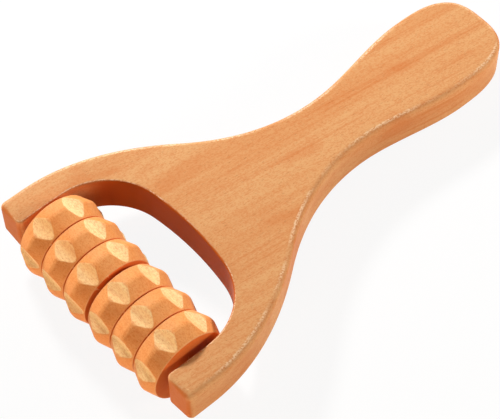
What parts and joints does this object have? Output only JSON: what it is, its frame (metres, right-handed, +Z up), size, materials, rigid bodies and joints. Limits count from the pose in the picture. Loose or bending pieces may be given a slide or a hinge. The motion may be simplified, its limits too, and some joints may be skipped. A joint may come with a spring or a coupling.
{
  "type": "foot massage roller",
  "caption": "Hand-held wooden massager: a flat forked handle with lobed, notched wooden rollers that spin freely on a hidden steel rod between its arms.",
  "frame": {"origin": "on the floor under the middle of the object's box, with the lowest lobes of the rollers at z = 0", "axes": "+X along the rod to the right arm, +Y along the handle away from the rollers, +Z up through the board's flat top"},
  "size_m": [0.113, 0.2084, 0.0359],
  "materials": {
    "fork_wood": "satin varnish over orange-tan hardwood",
    "roller_wood": "satin varnish over orange-tan hardwood",
    "plug_wood": "satin varnish, end of a dowel",
    "rod_steel": "plain drawn steel"
  },
  "bodies": {
    "fork": {"handle_fork": "fork_wood", "axle_rod": "rod_steel", "axle_plug": "plug_wood"},
    "left_roller": {"left_roller": "roller_wood"},
    "right_roller": {"right_roller": "roller_wood"}
  },
  "joints": [
    {"name": "left_roller_spin", "type": "hinge", "parent": "fork", "child": "left_roller", "pos_m": [-0.021, -0.08625, 0.01794], "axis": [1, 0, 0], "continuous": true},
    {"name": "right_roller_spin", "type": "hinge", "parent": "fork", "child": "right_roller", "pos_m": [0.021, -0.08625, 0.01794], "axis": [1, 0, 0], "continuous": true}
  ]
}
